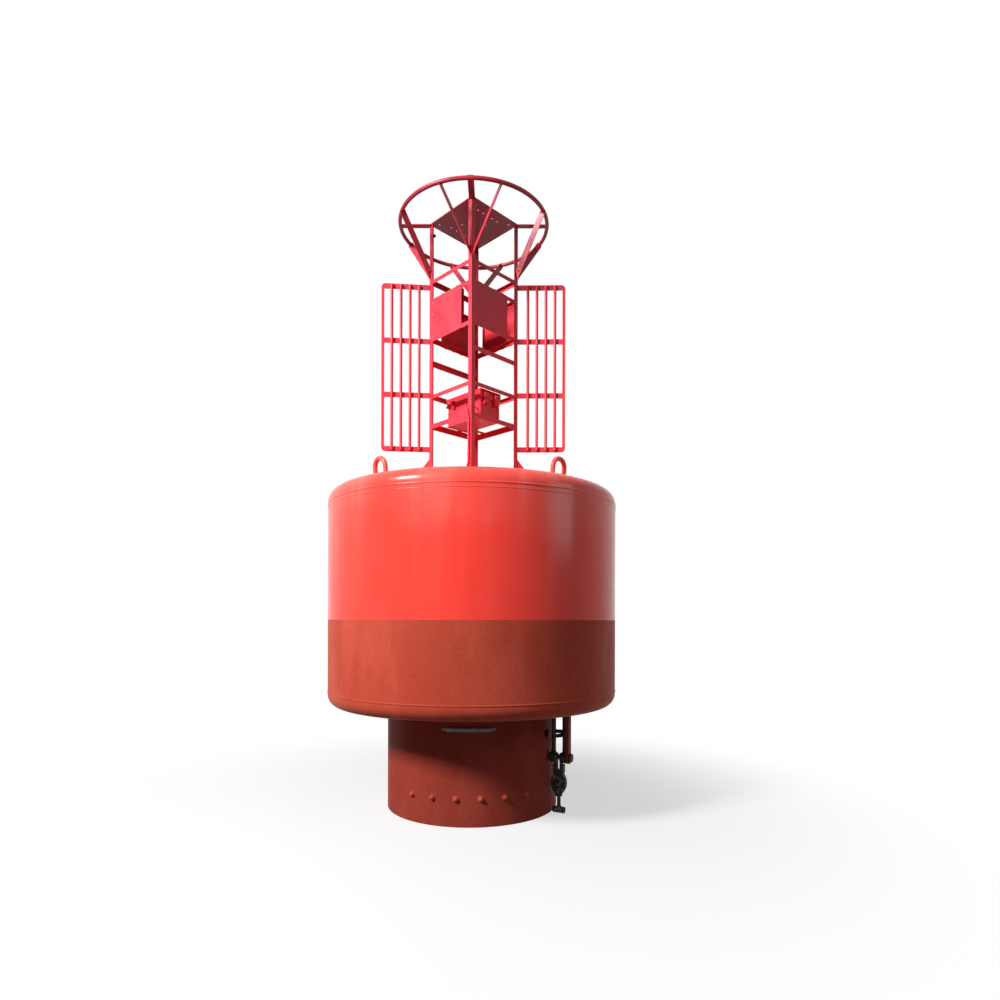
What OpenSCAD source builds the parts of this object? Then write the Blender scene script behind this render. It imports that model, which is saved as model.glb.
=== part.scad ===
// Steel can-shaped navigation buoy with a hollow tail tube, an angle-iron mast and a mooring swivel.
// Millimetres, +Z up. The origin is on the axis, at the floor that the tail tube stands on.
// Azimuths are in degrees from -Y, the side that faces the viewer, and grow towards +X.

/* [Hull] */
// Outside diameter of the hull
hull_d = 2400; // [2000:10:2800]
// Thickness of the hull plates
hull_t = 8; // [6:1:12]
// Height of the weld between the lower shell and the bottom head
seam_low_z = 970; // [940:10:1100]
// Height of the edge of the dark bottom paint, where the two shells meet
paint_z = 1550; // [1400:10:1700]
// Height of the weld between the upper shell and the top head
seam_top_z = 2480; // [2300:10:2550]
// Radius of the rolled edges of both heads
knuckle_r = 100; // [70:5:130]
// Straight rim of each head beside its weld
head_rim = 20; // [15:1:40]
// Rise of the top head from its rolled edge to its flat middle
crown_rise = 55; // [30:1:90]
// Room on the deck's flat middle beyond the gussets of the legs
deck_margin = 10; // [5:1:60]

/* [Tail tube] */
// Outside diameter of the tail tube
tail_d = 1428; // [1300:2:1500]
// Wall of the tail tube
tail_t = 12; // [8:1:16]
// Diameter of the two vent holes under the hull
vent_d = 70; // [40:2:100]
// Height of the vent holes
vent_z = 650; // [560:10:740]
// Azimuth of the first vent hole
vent_az = 58.5; // [50:0.5:62]

/* [Ballast] */
// Number of cast ballast blocks inside the foot of the tail tube
ballast_n = 12; // [10:1:16]
// Radial thickness of a ballast block
ballast_w = 140; // [80:5:150]
// Height of a ballast block
ballast_h = 200; // [120:10:240]
// Height of the underside of the blocks
ballast_z = 112; // [60:2:200]
// Gap between two blocks
ballast_gap = 12; // [6:1:30]

/* [Anodes] */
// Length of a zinc bar
anode_l = 330; // [250:10:400]
// Height of a zinc bar
anode_h = 36; // [24:1:50]
// Depth of a zinc bar
anode_t = 26; // [16:1:40]
// Length of the steel strap that shows at each end
anode_tab = 40; // [30:1:60]
// Height of the bars above the floor
anode_z = 730; // [690:5:790]

/* [Mast] */
// Width of the mast across the outer faces of its legs
mast_w = 534; // [500:1:600]
// Width of each flange of a leg
leg_w = 40; // [36:1:50]
// Thickness of a leg's flanges
leg_t = 5; // [4:0.5:8]
// Height of the mast from the deck to the upper face of the top plate
mast_h = 2285; // [2060:5:2600]
// Thickness of the top plate
top_t = 8; // [6:1:14]
// Width of each flange of a cross frame
brace_w = 32; // [26:1:40]
// Width of each flange of the single braces and of the frame under the battery box
carrier_w = 38; // [32:1:44]
// Thickness of the flanges of a cross frame
brace_t = 4; // [3:0.5:6]
// Drop from the top of the mast to the frame under the guard ring's stays
frame_a_drop = 490; // [450:5:550]
// Drop from the top of the mast to the upper edge of the side plates
panel_drop = 658; // [620:2:700]
// Height of a side plate between the frames that carry it
panel_h = 325; // [300:5:380]
// Drop from the lower edge of the side plates to the two single braces
brace_d_drop = 197; // [150:1:210]
// Room between the closed lid of the battery box and the frame above it
lid_room = 12; // [6:1:40]
// Height above the deck of the frame under the battery box
frame_f_h = 565; // [480:5:580]
// Width of a side plate
panel_w = 368; // [320:4:380]
// Thickness of a side plate
panel_t = 4; // [2:0.5:5]
// Width of the fold along a side plate's free edge
panel_fold = 30; // [20:1:40]
// Reach of the gusset at the foot of a leg
gusset = 190; // [150:5:200]
// Height of the gusset at the foot of a leg
gusset_h = 270; // [200:5:300]

/* [Top plate holes] */
// Diameter of the circle of lantern bolts
lantern_pcd = 200; // [180:5:240]
// Diameter of every hole in the top plate
top_hole_d = 18; // [12:1:20]
// Distance of the corner holes from the axis
corner_hole_r = 295; // [280:1:310]
// Distance of each row of holes from the axis
hole_row = 170; // [150:1:190]

/* [Guard ring] */
// Diameter of the guard ring at the middle of its tube
ring_d = 1250; // [1150:10:1350]
// Diameter of the guard ring's tube
ring_tube = 32; // [26:1:38]
// Drop from the underside of the top plate to the middle of the spokes
spoke_drop = 8; // [4:1:14]
// Width of the flat bars that make the spokes and the sloping stays
stay_w = 50; // [40:1:60]
// Height of a stay's foot above the frame under it
stay_foot = 60; // [55:1:80]
// Angle between a leg and the place where its stay meets the ring
stay_az = 22.5; // [18:0.5:28]

/* [Radar grilles] */
// Reach of a grille from its leg
grille_w = 407; // [340:1:480]
// Height above the deck of the grilles' lower edge
grille_low_h = 330; // [280:5:400]
// Drop from the top of the mast to the grilles' upper edge
grille_drop = 525; // [510:5:600]
// Height of a flat bar
flat_h = 44; // [30:1:50]
// Thickness of a flat bar
flat_t = 6; // [5:1:10]
// Diameter of an upright rod
rod_d = 24; // [18:1:28]
// Distance of the first rod from the leg
rod_first = 87; // [75:1:110]
// Angle that the left grille's outer edge turns towards the viewer
grille_turn_left = 5; // [1:1:12]
// Angle that the right grille's outer edge turns towards the viewer
grille_turn_right = 1; // [1:1:12]

/* [Battery box] */
// Length of the box
box_l = 404; // [360:2:410]
// Width of the box
box_w = 214; // [190:2:240]
// Height of the box from its tray to the lid's seat
box_h = 180; // [150:2:200]
// Wall of the box and lid
box_t = 4; // [3:0.5:5]
// Overhang of the lid beyond the box
lid_over = 10; // [8:1:14]
// Height of the lid
lid_h = 70; // [55:1:75]
// Diameter of the hinge pin
hinge_pin_d = 8; // [6:1:9]
// Width of the clamps at the box's ends
clamp_w = 44; // [30:1:60]
// Distance of each clamp from the box's middle line
clamp_y = 58; // [40:1:70]
// Width of the tray's lugs
tray_lug_w = 40; // [30:1:60]

/* [Lifting eyes] */
// Distance of a lifting eye from the axis
eye_r = 956; // [900:2:1000]
// Diameter of the bent bar
eye_bar = 36; // [30:1:40]
// Width of the eye between the middles of its legs
eye_w = 130; // [110:2:150]
// Height of the eye's top above the rolled edge of the head
eye_h = 180; // [140:5:240]
// Outward lean of the eyes
eye_lean = 6; // [0:1:10]

/* [Mooring tackle] */
// Azimuth of the mooring point
moor_az = 62.5; // [50:0.5:70]
// Room between the tail tube and the middle of the mooring tackle
moor_gap = 83; // [76:1:106]
// Height of the mooring pin
pin_z = 457; // [450:1:470]
// Diameter of the mooring pin
pin_d = 36; // [32:1:40]
// Diameter of the bent bar of the hull eye and the shackle
bail_bar = 34; // [30:1:36]
// Gap between the shackle's ears
jaw_gap = 56; // [52:1:62]
// Diameter of the shackle's ears
ear_d = 94; // [80:1:96]
// Height of the middle of the hull eye's lower bar
hull_eye_z = 627; // [615:1:650]
// Width of the swivel's bow
bow_w = 128; // [120:1:140]
// Diameter of the swivel's stem
stem_d = 32; // [26:1:36]
// Diameter of the round eye at the swivel's foot
foot_d = 54; // [50:1:60]
// Length of the round eye at the swivel's foot
foot_l = 100; // [90:1:110]
// Diameter of the hole through the swivel's foot
foot_bore = 28; // [24:1:32]
// Height of the swivel's foot above the floor
foot_gap = 10; // [8:1:20]

/* [Manhole] */
// Outside diameter of the manhole's cover
manhole_d = 430; // [380:5:440]
// Height of the manhole's collar
manhole_h = 60; // [40:5:90]
// Thickness of the manhole's cover
cover_t = 12; // [8:1:16]

/* [Hidden] */
$fn = 96;
// Colours as the photograph shows them
RED = "#d8402c";
DARK_RED = "#96352a";
ZINC = "#6f6a66";
BLACK = "#241f20";
CAST = "#5a4a44";

hull_r = hull_d / 2;
tail_r = tail_d / 2;
moor_r = tail_r + moor_gap;
bottom_z = seam_low_z - head_rim - knuckle_r;
edge_r = hull_r - knuckle_r;
edge_top_z = seam_top_z + head_rim + knuckle_r;
crown_z = edge_top_z + crown_rise;
tab_t = 6;
eye_top_z = edge_top_z + eye_h;
// The mast is square, with its corners on the X and Y axes
mast_half = mast_w / 2;
leg_r = mast_half * sqrt(2);
crown_flat_r = leg_r + gusset + deck_margin;
gusset_toe = 12;
mast_top_z = crown_z + mast_h;
leg_top_z = mast_top_z - top_t;
frame_a_z = mast_top_z - frame_a_drop;
panel_top_z = mast_top_z - panel_drop;
panel_low_z = panel_top_z - panel_h;
brace_d_z = panel_low_z - brace_d_drop;
frame_f_z = crown_z + frame_f_h;
grille_low_z = crown_z + grille_low_h;
grille_top_z = mast_top_z - grille_drop;
spoke_z = leg_top_z - spoke_drop;
ring_z = spoke_z - ring_tube / 2;
ring_r = ring_d / 2;
slip = 0.3;
run = 0.1;
seat_gap = 0.5;
tray_t = 4;
tray_rim = 12;
tray_lug_end = 45;
tray_lug_side = 120;
box_z = frame_f_z + tray_t;
lid_z = box_z + box_h;
lid_skirt = 20;
lid_ledge = 10;
lid_rib = 5;
rib_h = 12;
lid_top_z = lid_z + lid_h - lid_skirt;
frame_e_z = lid_top_z + lid_room + brace_t;
clamp_gap = 6;
clamp_t = 12;
clamp_foot = 75;
clamp_nose = 28;
hasp_x = box_l * 0.3;
hinge_y = box_w / 2 + lid_over + hinge_pin_d;
hinge_l = 24;
ear_t = bail_bar + 2;
strap_t = 26;
strap_w = 56;
strap_x = jaw_gap / 2 + ear_t + 2;
bow_arc = 125;
bow_wall = 30;
bow_d = 44;
bow_half_h = sqrt(bow_arc * bow_arc - pow(bow_arc - bow_w / 2, 2));
bow_low_z = 144;
bow_z = bow_low_z + bow_half_h;
boss_z = 192;
stem_head_d = 46;
stem_head_h = 20;

// Places its children at an azimuth and a distance from the axis, with +X pointing outwards there.
module at(az, r = 0, z = 0) rotate([0, 0, az - 90]) translate([r, 0, z]) children();

// The four sides of the mast, each with its outer face on the plane y = -mast_half.
module mast_side(i) rotate([0, 0, 45 + 90 * i]) children();

// Block between two corners.
module block(low, high) translate(low) cube(high - low);

// A quarter of a disc, for the rolled edges.
module quarter(r) intersection() {
    circle(r = r);
    square([r, r]);
}

// Half outline of a head, to be turned round the axis. In is how far it lies inside the plate's face.
module head_outline(in) {
    translate([edge_r, head_rim]) quarter(knuckle_r - in);
    square([hull_r - in, head_rim]);
    polygon([
        [0, 0], [edge_r, 0], [edge_r, head_rim + knuckle_r - in],
        [crown_flat_r, head_rim + knuckle_r + crown_rise - in], [0, head_rim + knuckle_r + crown_rise - in]
    ]);
}

module top_head() color(RED)
    translate([0, 0, seam_top_z]) rotate_extrude() difference() {
        head_outline(0);
        head_outline(hull_t);
    }

module shell(low, high)
    translate([0, 0, low]) difference() {
        cylinder(r = hull_r, h = high - low);
        translate([0, 0, -1]) cylinder(r = hull_r - hull_t, h = high - low + 2);
    }

module shell_upper() color(RED) shell(paint_z, seam_top_z);

module shell_lower() color(DARK_RED) shell(seam_low_z, paint_z);

// The bottom head is flat inside its rolled edge and has the same rim.
module bottom_outline(in) {
    translate([edge_r, bottom_z + knuckle_r]) mirror([0, 1]) quarter(knuckle_r - in);
    translate([0, bottom_z + in]) square([edge_r, knuckle_r - in]);
    translate([0, bottom_z + knuckle_r]) square([hull_r - in, head_rim + in]);
}

module bottom_head() color(DARK_RED)
    rotate_extrude() difference() {
        bottom_outline(0);
        bottom_outline(hull_t);
    }

module tail_tube() color(DARK_RED)
    difference() {
        cylinder(r = tail_r, h = bottom_z);
        translate([0, 0, -1]) cylinder(r = tail_r - tail_t, h = bottom_z + 2);
        for (side = [0, 180]) at(vent_az + side, tail_r - 2 * tail_t, vent_z)
            rotate([0, 90, 0]) cylinder(d = vent_d, h = 4 * tail_t);
    }

module ballast_blocks() color(CAST)
    for (i = [0 : ballast_n - 1]) at(360 / ballast_n * (i + 0.5), 0, ballast_z)
        ballast_block();

// One block is a slice of a ring. Its ends are parallel to its middle line, half a gap off the radius.
module ballast_block() {
    slice = 180 / ballast_n;
    out_r = tail_r - tail_t - seat_gap;
    far = 2 * out_r;
    intersection() {
        difference() {
            cylinder(r = out_r, h = ballast_h);
            translate([0, 0, -1]) cylinder(r = out_r - ballast_w, h = ballast_h + 2);
        }
        translate([ballast_gap / 2 / sin(slice), 0, 0]) linear_extrude(ballast_h)
            polygon([[0, 0], [far, -far * tan(slice)], [far, far * tan(slice)]]);
    }
}

// Bar that follows the tail tube's wall at a distance, centred on +X, with sloping upper and lower faces.
module curved_bar(length, height, off, depth, slope) {
    turn = length / tail_r * 180 / PI;
    rotate([0, 0, -turn / 2]) rotate_extrude(angle = turn) translate([tail_r + off, 0]) polygon([
        [0, -height / 2], [depth, slope - height / 2], [depth, height / 2 - slope], [0, height / 2]
    ]);
}

module anodes() color(ZINC)
    for (az = [0, 180]) at(az, 0, anode_z) {
        curved_bar(anode_l, anode_h, tab_t / 2, anode_t, anode_h / 6);
        curved_bar(anode_l + 2 * anode_tab, anode_h / 2, 0, tab_t, 0);
    }

module manhole_collar() color(RED)
    translate([0, 0, crown_z]) difference() {
        cylinder(d = manhole_d, h = manhole_h);
        translate([0, 0, -1]) cylinder(d = manhole_d - 4 * hull_t, h = manhole_h + 2);
    }

module manhole_cover() color(RED)
    translate([0, 0, crown_z + manhole_h]) cylinder(d = manhole_d, h = cover_t);

// A round bar bent into a bail that stands open downwards: two legs, two bends and a straight top.
// Its width is between the middles of its legs, and its top is the middle of the straight bar.
module bail(width, bar, bend, legs) {
    for (side = [0, 1]) mirror([side, 0, 0]) {
        translate([width / 2, 0, -legs]) cylinder(d = bar, h = legs - bend);
        translate([width / 2 - bend, 0, -bend]) rotate([90, 0, 0])
            rotate_extrude(angle = 90) translate([bend, 0]) circle(d = bar);
    }
    rotate([0, 90, 0]) cylinder(d = bar, h = width - 2 * bend, center = true);
}

module lifting_eye(i) color(RED) difference() {
    at(45 + 90 * i, eye_r, eye_top_z - eye_bar / 2) rotate([0, eye_lean, 0]) rotate([0, 0, 90])
        bail(eye_w, eye_bar, eye_w / 2 - 2, eye_top_z - edge_top_z + 40);
    translate([0, 0, seam_top_z]) rotate_extrude() head_outline(0);
}

// A leg is an angle bar with its heel on the mast's corner, and a gusset on its outer side.
module leg(i) color(RED) mast_side(i) translate([-mast_half, -mast_half, 0]) {
    difference() {
        block([0, 0, crown_z], [leg_w, leg_w, leg_top_z]);
        block([leg_t, leg_t, crown_z - 1], [leg_w + 1, leg_w + 1, leg_top_z + 1]);
    }
    rotate([90, 0, -135]) translate([0, 0, -leg_t / 2]) linear_extrude(leg_t)
        polygon([
            [-leg_t, crown_z], [gusset, crown_z], [gusset, crown_z + gusset_toe],
            [0, crown_z + gusset_h], [-leg_t, crown_z + gusset_h]
        ]);
}

// Square frame of angle bar inside the legs, with its flat flange level with z.
module square_frame(z, width) color(RED) {
    out = mast_half - leg_t;
    difference() {
        block([-out, -out, z - width], [out, out, z]);
        block([brace_t - out, brace_t - out, z - width - 1], [out - brace_t, out - brace_t, z - brace_t]);
        block([width - out, width - out, z - brace_t - 1], [out - width, out - width, z + 1]);
    }
}

module frame_at(z, width) rotate([0, 0, 45]) square_frame(z, width);

module braces_d() color(RED) for (i = [0, 2]) mast_side(i) intersection() {
    square_frame(brace_d_z, carrier_w);
    block([leg_t - mast_half, -mast_half, brace_d_z - carrier_w],
        [mast_half - leg_t, carrier_w - mast_half, brace_d_z]);
}

// A side plate begins at a leg and leaves a gap before the next one. Its free edge is folded inwards
// between the two frames that carry it.
module panel(i) color(RED) mast_side(i) {
    edge = leg_w - mast_half + panel_w;
    face = leg_t - panel_t - mast_half;
    block([leg_w - mast_half, face, panel_low_z - brace_w], [edge, leg_t - mast_half, panel_top_z]);
    block([edge - panel_t, face, panel_low_z + seat_gap],
        [edge, face + panel_fold, panel_top_z - brace_w - seat_gap]);
}

module top_plate() color(RED) difference() {
    rotate([0, 0, 45]) block([-mast_half, -mast_half, leg_top_z], [mast_half, mast_half, mast_top_z]);
    for (az = [0 : 90 : 270]) {
        at(az, lantern_pcd / 2, leg_top_z - 1) cylinder(d = top_hole_d, h = top_t + 2);
        at(az, corner_hole_r, leg_top_z - 1) cylinder(d = top_hole_d, h = top_t + 2);
    }
    for (row = [-1, 1], along = [-110, -50, 50, 110]) rotate([0, 0, 45])
        translate([along, row * hole_row, leg_top_z - 1]) cylinder(d = top_hole_d, h = top_t + 2);
}

// Space inside the outer faces of the mast, taken from what is welded on its outside.
module mast_space() rotate([0, 0, 45])
    block([-mast_half, -mast_half, crown_z], [mast_half, mast_half, mast_top_z]);

module ring_tube_at() translate([0, 0, ring_z]) rotate([0, 0, 45])
    rotate_extrude() translate([ring_r, 0]) circle(d = ring_tube);

// The ring's tube lies under the four spokes.
module guard_ring() color(RED) difference() {
    union() {
        ring_tube_at();
        for (az = [0 : 90 : 270]) at(az, 0, spoke_z - flat_t / 2)
            block([leg_r - stay_w / 2, -stay_w / 2, 0], [ring_r + flat_t, stay_w / 2, flat_t]);
    }
    mast_space();
}

// Flat bar between two points, with its edge turned to face an azimuth.
module flat_bar(from, to, az) {
    span = to - from;
    tilt = acos(span.z / norm(span));
    heading = atan2(span.y, span.x);
    translate(from) rotate([0, tilt, heading]) rotate([0, 0, -atan(cos(tilt) * tan(heading - az))])
        block([-stay_w / 2, -flat_t / 2, 0], [stay_w / 2, flat_t / 2, norm(span)]);
}

// The two stays of one leg start inside its heel, where the mast's space cuts them off, and stand
// on edge across the guard ring's tube.
module stays(i) color(RED) difference() {
    for (side = [-1, 1]) {
        head = [ring_r * cos(stay_az), side * ring_r * sin(stay_az), ring_z];
        foot = [leg_r - leg_t, side * stay_w / 3, frame_a_z + stay_foot];
        rotate([0, 0, 90 * i]) flat_bar(foot - (head - foot) * 0.1, head, side * stay_az);
    }
    mast_space();
    ring_tube_at();
}

// Flat shape with rounded corners, from circles and squares so that its corners stay true arcs.
module round_rect(w, h, r) {
    translate([r, 0]) square([w - 2 * r, h]);
    translate([0, r]) square([w, h - 2 * r]);
    for (x = [r, w - r], y = [r, h - r]) translate([x, y]) circle(r = r);
}

// A grille is a hoop of flat bar with two cross bars, and upright rods welded on its front.
module grille() {
    tall = grille_top_z - grille_low_z;
    bays = 3;
    bay = (tall - flat_h) / bays;
    corner = 35;
    rods = 4;
    pitch = (grille_w - rod_d / 2 - rod_first) / rods;
    translate([0, 0, grille_low_z]) {
        rotate([90, 0, 0]) linear_extrude(flat_t) difference() {
            intersection() {
                translate([-2 * corner, 0]) round_rect(grille_w + 2 * corner, tall, corner);
                translate([-rod_d, 0]) square([grille_w + rod_d, tall]);
            }
            for (i = [0 : bays - 1]) translate([-2 * rod_d, i * bay + flat_h])
                square([grille_w + rod_d, bay - flat_h]);
        }
        for (i = [0 : rods - 1]) translate([rod_first + i * pitch, -flat_t - rod_d / 2 + 2, flat_h / 4])
            cylinder(d = rod_d, h = tall - flat_h / 2);
    }
}

// A grille on a leg that stands on the +X axis.
module grille_at(turn) difference() {
    translate([leg_r, 0, 0]) rotate([0, 0, -turn]) grille();
    mast_space();
}

module grille_right() color(RED) grille_at(grille_turn_right);

module grille_left() color(RED) mirror([1, 0, 0]) grille_at(grille_turn_left);

// Frame of the battery box: +X runs along it to the front right, and +Y points to its hinges.
module box_place() rotate([0, 0, -45]) children();

// The tray carries the box, and lies with four lugs on the lowest frame.
module box_tray() color(RED) box_place() {
    long = box_l / 2 + tray_rim;
    deep = box_w / 2 + tray_rim;
    reach = mast_half - leg_t - 2;
    half = tray_lug_w / 2;
    block([-long, -deep, frame_f_z], [long, deep, box_z]);
    for (turn = [0, 180]) rotate([0, 0, turn]) {
        block([0, -tray_lug_end - half, frame_f_z], [reach, half - tray_lug_end, box_z]);
        block([-tray_lug_side - half, 0, frame_f_z], [half - tray_lug_side, reach, box_z]);
    }
}

module battery_box() color(RED) box_place() {
    long = box_l / 2;
    deep = box_w / 2;
    difference() {
        block([-long, -deep, box_z], [long, deep, lid_z]);
        block([box_t - long, box_t - deep, box_z + box_t], [long - box_t, deep - box_t, lid_z + 1]);
    }
    for (side = [-1, 1]) hinge_body(side);
    for (turn = [0, 180], side = [-1, 1]) rotate([0, 0, turn])
        translate([long, side * clamp_y + clamp_w / 2, lid_z]) rotate([90, 0, 0]) linear_extrude(clamp_w)
            clamp_outline();
}

// Side view of an end clamp: an arm from the wall, and a nose that stands up beside the lid.
module clamp_outline() {
    near = lid_over + lid_rib + clamp_gap;
    far = near + clamp_t;
    arm = -lid_skirt - clamp_gap;
    polygon([
        [-1, -clamp_foot], [far, clamp_t - clamp_foot], [far, clamp_nose - clamp_t - 4],
        [near, clamp_nose], [near, arm], [-1, arm]
    ]);
}

// Fixed knuckle with the pin, on an arm from the wall of the box.
module hinge_body(side) {
    x = side * box_l / 4 - hinge_l - 1;
    knuckle_d = 2 * hinge_pin_d - 3;
    block([x, box_w / 2 - 1, lid_z - 60], [x + hinge_l, box_w / 2 + 6, lid_z - 24]);
    block([x, box_w / 2 - 1, lid_z - 30], [x + hinge_l, hinge_y + 3, lid_z - 24]);
    block([x, hinge_y - 3, lid_z - 30], [x + hinge_l, hinge_y + 3, lid_z]);
    translate([x, hinge_y, lid_z]) rotate([0, 90, 0]) {
        cylinder(d = knuckle_d, h = hinge_l);
        cylinder(d = hinge_pin_d, h = 2 * hinge_l + 1);
    }
}

// The lid is a shallow tray upside down, seated on the rim of the box by a ledge. It has a skirt on
// three sides, two ribs round it, and no skirt at its hinges.
module box_lid() color(RED) box_place() {
    long = box_l / 2 + lid_over;
    deep = box_w / 2 + lid_over;
    low_z = lid_z - lid_skirt;
    ledge = box_t + lid_ledge;
    difference() {
        block([-long, -deep, low_z], [long, deep, lid_top_z]);
        block([box_t - long, box_t - deep, low_z - 1], [long - box_t, deep - box_t, lid_top_z - box_t]);
        block([-long - 1, deep - box_t - 1, low_z - 1], [long + 1, deep + 1, lid_z + slip]);
    }
    difference() {
        block([box_t - long, box_t - deep, lid_z + slip], [long - box_t, deep - box_t, lid_z + slip + box_t]);
        block([ledge - long, ledge - deep, lid_z], [long - ledge, deep - ledge, lid_top_z]);
    }
    for (z = [low_z, lid_top_z - rib_h]) difference() {
        block([-long - lid_rib, -deep - lid_rib, z], [long + lid_rib, deep - box_t - 1, z + rib_h]);
        block([-long, -deep, z - 1], [long, deep + 1, z + rib_h + 1]);
    }
    for (side = [-1, 1]) hinge_lid(side);
}

// Moving knuckle on the lid, bored for the pin.
module hinge_lid(side) {
    x = side * box_l / 4;
    knuckle_d = 2 * hinge_pin_d - 3;
    bore_d = hinge_pin_d + 2 * run;
    difference() {
        union() {
            translate([x, hinge_y, lid_z]) rotate([0, 90, 0]) cylinder(d = knuckle_d, h = hinge_l);
            block([x, box_w / 2 + lid_over - 1, lid_z + 1], [x + hinge_l, hinge_y, lid_z + knuckle_d / 2]);
        }
        translate([x - 1, hinge_y, lid_z]) rotate([0, 90, 0]) cylinder(d = bore_d, h = hinge_l + 2);
    }
}

module lid_hasps() color(RED) box_place()
    for (x = [-hasp_x, hasp_x]) {
        face = -box_w / 2 - lid_over - lid_rib;
        block([x - 14, face - 5, lid_z - 50], [x + 14, face, lid_z + 26]);
        block([x - 20, face - 14, lid_z + 4], [x + 20, face - 5, lid_z + 18]);
    }

// Frame of the mooring tackle: +X points away from the axis, and z is measured from the floor.
module tackle() at(moor_az, moor_r) children();

module hull_eye() color(BLACK) tackle() rotate([0, 0, 55]) translate([0, 0, hull_eye_z])
    rotate([180, 0, 0]) bail(100, bail_bar, 28, bottom_z - hull_eye_z);

module mooring_shackle() color(BLACK) tackle() difference() {
    top_z = hull_eye_z + bail_bar + slip;
    union() {
        translate([0, 0, top_z]) bail(jaw_gap + ear_t, bail_bar, 25, top_z - pin_z);
        for (side = [-1, 1]) translate([side * (jaw_gap + ear_t) / 2, 0, pin_z])
            rotate([0, 90, 0]) cylinder(d = ear_d, h = ear_t, center = true);
    }
    pin_hole(run);
}

module pin_hole(gap)
    translate([0, 0, pin_z]) rotate([0, 90, 0]) cylinder(d = pin_d + 2 * gap, h = 400, center = true);

module keeper_strap() color(DARK_RED) tackle() difference() {
    union() {
        block([strap_x, -strap_w / 2, pin_z], [strap_x + strap_t, strap_w / 2, bottom_z]);
        translate([strap_x, 0, pin_z]) rotate([0, 90, 0]) cylinder(d = ear_d, h = strap_t);
    }
    pin_hole(run);
}

module mooring_pin() color(BLACK) tackle() {
    inner = jaw_gap / 2 + ear_t + 1;
    head_t = 16;
    translate([-inner - head_t, 0, pin_z]) rotate([0, 90, 0]) cylinder(d = 62, h = head_t);
    translate([-inner, 0, pin_z]) rotate([0, 90, 0]) cylinder(d = pin_d, h = inner + strap_x + strap_t + 1);
    translate([strap_x + strap_t + 1, 0, pin_z]) rotate([0, 90, 0]) cylinder(d = 66, h = 18);
}

// Outline of the swivel's bow: a lens between two arcs.
module lens(r) intersection() {
    translate([bow_arc - bow_w / 2, 0]) circle(r = r);
    translate([bow_w / 2 - bow_arc, 0]) circle(r = r);
}

module swivel_bow() color(BLACK) tackle() difference() {
    ear_in = 10;
    ear_out = jaw_gap / 2 - 1.5;
    shoulder_z = pin_z - ear_d / 2 - 6;
    union() {
        translate([0, bow_d / 2, bow_z]) rotate([90, 0, 0]) linear_extrude(bow_d) difference() {
            lens(bow_arc);
            lens(bow_arc - bow_wall);
        }
        for (side = [0, 180]) rotate([0, 0, side]) {
            block([ear_in, -bow_d / 2, bow_z + bow_half_h - bow_wall], [bow_w * 0.37, bow_d / 2, shoulder_z]);
            block([ear_in, -bow_d / 2, shoulder_z - 1], [ear_out, bow_d / 2, pin_z]);
            translate([ear_in, 0, pin_z]) rotate([0, 90, 0]) cylinder(d = 72, h = ear_out - ear_in);
        }
        translate([0, 0, bow_low_z]) cylinder(d = 58, h = boss_z - bow_low_z);
    }
    pin_hole(run);
    cylinder(d = stem_d + 2 * run, h = boss_z + 1);
    translate([0, 0, boss_z]) cylinder(d = stem_head_d + 10, h = stem_head_h + 6);
}

module swivel_stem() color(BLACK) tackle() difference() {
    foot_z = foot_gap + foot_d / 2;
    union() {
        translate([0, 0, foot_z]) cylinder(d = stem_d, h = boss_z + 1 - foot_z);
        translate([0, 0, boss_z + slip]) cylinder(d = stem_head_d, h = stem_head_h);
        translate([0, 0, foot_z]) cylinder(d1 = foot_d, d2 = stem_d, h = foot_d * 0.8);
        translate([0, 0, foot_z]) rotate([0, 90, 0]) cylinder(d = foot_d, h = foot_l, center = true);
    }
    translate([0, 0, foot_z]) rotate([0, 90, 0]) cylinder(d = foot_bore, h = foot_l + 2, center = true);
}

top_head();
shell_upper();
shell_lower();
bottom_head();
tail_tube();
ballast_blocks();
anodes();
manhole_collar();
manhole_cover();
lifting_eye(0);  // lifting_eye_1
lifting_eye(1);  // lifting_eye_2
lifting_eye(2);  // lifting_eye_3
lifting_eye(3);  // lifting_eye_4
leg(0);  // leg_1
leg(1);  // leg_2
leg(2);  // leg_3
leg(3);  // leg_4
frame_at(frame_a_z, brace_w);  // frame_a
frame_at(panel_top_z, brace_w);  // frame_b
frame_at(panel_low_z, brace_w);  // frame_c
braces_d();
frame_at(frame_e_z, brace_w);  // frame_e
frame_at(frame_f_z, carrier_w);  // frame_f
panel(0);  // panel_1
panel(1);  // panel_2
panel(2);  // panel_3
panel(3);  // panel_4
top_plate();
guard_ring();
stays(0);  // stays_1
stays(1);  // stays_2
stays(2);  // stays_3
stays(3);  // stays_4
grille_left();
grille_right();
box_tray();
battery_box();
box_lid();
lid_hasps();
hull_eye();
mooring_shackle();
keeper_strap();
mooring_pin();
swivel_bow();
swivel_stem();
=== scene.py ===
import math
import bpy
from mathutils import Matrix, Vector


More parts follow.
